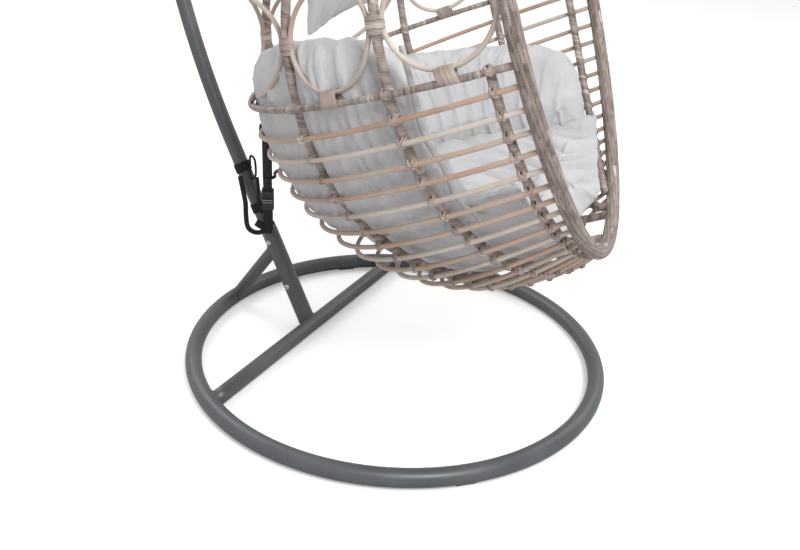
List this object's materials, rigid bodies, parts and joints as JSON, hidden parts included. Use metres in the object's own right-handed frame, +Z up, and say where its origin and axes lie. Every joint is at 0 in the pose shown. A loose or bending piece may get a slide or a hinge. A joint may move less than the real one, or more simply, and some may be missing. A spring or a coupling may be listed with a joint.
{
  "type": "hanging egg chair",
  "caption": "Hanging egg chair: open rod-and-rib shell with cushions, hung by a spring and swivel from a bent tube post on a round floor ring.",
  "frame": {"origin": "middle of the whole chair's footprint box, on the floor", "axes": "+Z up; +Y to the rear, where the post rises; -Y is the front; +X to the left of someone sitting in the chair, seat facing -Y"},
  "size_m": [1.0984, 1.267, 1.9115],
  "materials": {
    "grey_powder_coat": "satin powder coat, fine texture",
    "bright_zinc": "zinc plated",
    "black_rubber": "matt",
    "black_plastic": "moulded, slight sheen",
    "black_webbing": "woven polyester webbing",
    "cane_rod": "cane-look resin, mottled tan and ivory",
    "cane_loop": "cane-look resin, mottled tan and ivory",
    "wicker_wrap": "tube wrapped in flat taupe resin strand",
    "cushion_cloth": "light grey woven polyester"
  },
  "bodies": {
    "stand": {"buckle_socket": "black_plastic", "cross_bar": "grey_powder_coat", "end_plug": "black_rubber", "floor_glide_1": "black_rubber", "floor_glide_2": "black_rubber", "floor_glide_3": "black_rubber", "floor_glide_4": "black_rubber", "floor_ring": "grey_powder_coat", "hang_lug": "grey_powder_coat", "post_lower": "grey_powder_coat", "post_sleeve": "grey_powder_coat", "post_socket": "grey_powder_coat", "post_upper": "grey_powder_coat", "rear_brace": "grey_powder_coat", "socket_bolt_1": "bright_zinc", "socket_bolt_2": "bright_zinc", "strap_collar": "black_webbing", "strap_loop": "black_webbing", "strap_lower_web": "black_webbing"},
    "basket": {"back_pillow": "cushion_cloth", "band_hoop": "wicker_wrap", "bolster": "cushion_cloth", "crown": "wicker_wrap", "hang_eye": "bright_zinc", "loop_row_1": "cane_loop", "loop_row_2": "cane_loop", "loop_row_3": "cane_loop", "opening_rim": "wicker_wrap", "rib_1_left": "wicker_wrap", "rib_1_right": "wicker_wrap", "rib_2_left": "wicker_wrap", "rib_2_right": "wicker_wrap", "rib_3_left": "wicker_wrap", "rib_3_right": "wicker_wrap", "rib_rear": "wicker_wrap", "rod_01": "cane_rod", "rod_02": "cane_rod", "rod_03": "cane_rod", "rod_04": "cane_rod", "rod_05": "cane_rod", "rod_06": "cane_rod", "rod_07": "cane_rod", "rod_08": "cane_rod", "rod_09": "cane_rod", "rod_10": "cane_rod", "rod_11": "cane_rod", "rod_12": "cane_rod", "rod_13": "cane_rod", "rod_14": "cane_rod", "rod_15": "cane_rod", "rod_16": "cane_rod", "rod_17": "cane_rod", "seat_cushion": "cushion_cloth", "strap_upper_web": "black_webbing"},
    "snap_link": {"snap_hook": "bright_zinc"},
    "gate": {"snap_gate": "bright_zinc"},
    "swivel_top": {"swivel_upper": "bright_zinc"},
    "swivel_bottom": {"swivel_lower": "bright_zinc", "coil_spring": "bright_zinc"},
    "buckle_tongue_body": {"buckle_tongue": "black_plastic"}
  },
  "joints": [
    {"name": "swing_fore_aft", "type": "hinge", "parent": "stand", "child": "snap_link", "pos_m": [-0.02423, -0.16184, 1.84791], "axis": [1, 0, 0], "range_deg": [-10, 5], "deforming": ["strap_upper_web"]},
    {"name": "snap_gate_opening", "type": "hinge", "parent": "snap_link", "child": "gate", "pos_m": [-0.00924, -0.16184, 1.78691], "axis": [0, 1, 0], "range_deg": [-15, 0]},
    {"name": "swing_sideways", "type": "hinge", "parent": "snap_link", "child": "swivel_top", "pos_m": [-0.02423, -0.16184, 1.76591], "axis": [0, 1, 0], "range_deg": [-6, 6]},
    {"name": "swivel", "type": "hinge", "parent": "swivel_top", "child": "swivel_bottom", "pos_m": [-0.02423, -0.16184, 1.72], "axis": [0, 0, 1], "range_deg": [-30, 30]},
    {"name": "spring_bounce", "type": "slide", "parent": "swivel_bottom", "child": "basket", "axis": [0, 0, 1], "range_m": [-0.05, 0], "deforming": ["coil_spring"]},
    {"name": "buckle_release", "type": "slide", "parent": "stand", "child": "buckle_tongue_body", "axis": [-0.3739, -0.225, 0.8998], "range_m": [0, 0.03]}
  ]
}
